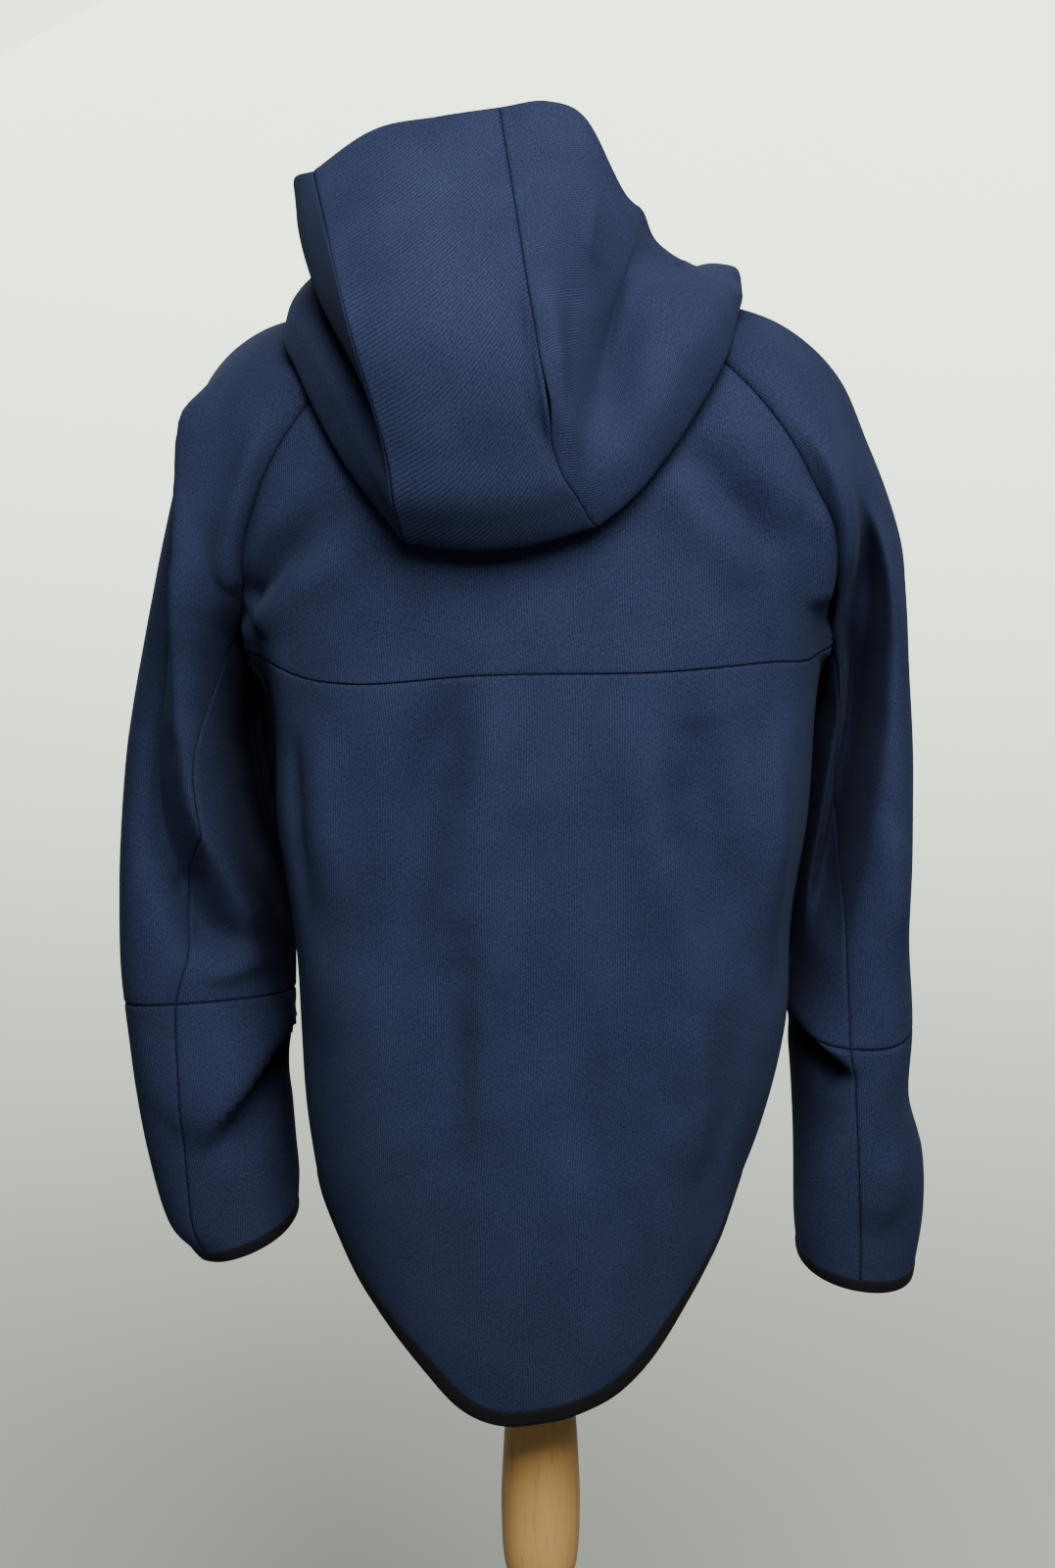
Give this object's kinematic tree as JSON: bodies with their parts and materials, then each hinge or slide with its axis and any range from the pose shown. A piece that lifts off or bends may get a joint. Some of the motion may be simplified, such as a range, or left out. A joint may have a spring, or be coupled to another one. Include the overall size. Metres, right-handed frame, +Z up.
{
  "type": "zip-up hoodie on a dress form",
  "caption": "Zip-up hooded sweatshirt with raglan sleeves and a drop tail, filled out on a limbless dress form with a turned post and a round base.",
  "frame": {"origin": "on the floor under the axis of the post, at the centre of the base's underside", "axes": "+Z up along the post, +Y out of the wearer's back, -Y out of the zip, +X to the wearer's left"},
  "size_m": [0.5743, 0.3861, 1.4229],
  "materials": {
    "fleece": "matt knitted fleece, brushed inside",
    "binding": "matt elastic binding",
    "zip_tape": "matt woven tape",
    "zip_teeth": "satin moulded teeth",
    "zip_metal": "satin dark plating",
    "form_jersey": "matt stretched jersey",
    "beech": "satin varnished, fine grain"
  },
  "bodies": {
    "hoodie_on_form": {"back_yoke": "fleece", "back_lower": "fleece", "front_left": "fleece", "front_right": "fleece", "sleeve_left_upper": "fleece", "sleeve_left_under": "fleece", "forearm_left_outer": "fleece", "forearm_left_under": "fleece", "cuff_left_binding": "binding", "sleeve_right_upper": "fleece", "sleeve_right_under": "fleece", "forearm_right_outer": "fleece", "forearm_right_under": "fleece", "cuff_right_binding": "binding", "hood_left": "fleece", "hood_centre": "fleece", "hood_right": "fleece", "hem_binding": "binding", "zip_tape_left_upper": "zip_tape", "zip_tape_left_lower": "zip_tape", "zip_tape_right_upper": "zip_tape", "zip_tape_right_lower": "zip_tape", "zip_chain_upper": "zip_teeth", "zip_chain_lower": "zip_teeth", "zip_slider": "zip_metal", "form_torso": "form_jersey", "stand_post": "beech", "stand_base": "beech"},
    "pull": {"zip_pull": "zip_metal"}
  },
  "joints": [
    {"name": "pull_swing", "type": "hinge", "parent": "hoodie_on_form", "child": "pull", "pos_m": [0, -0.10895, 1.272], "axis": [-1, 0, 0], "range_deg": [0, 150]}
  ]
}
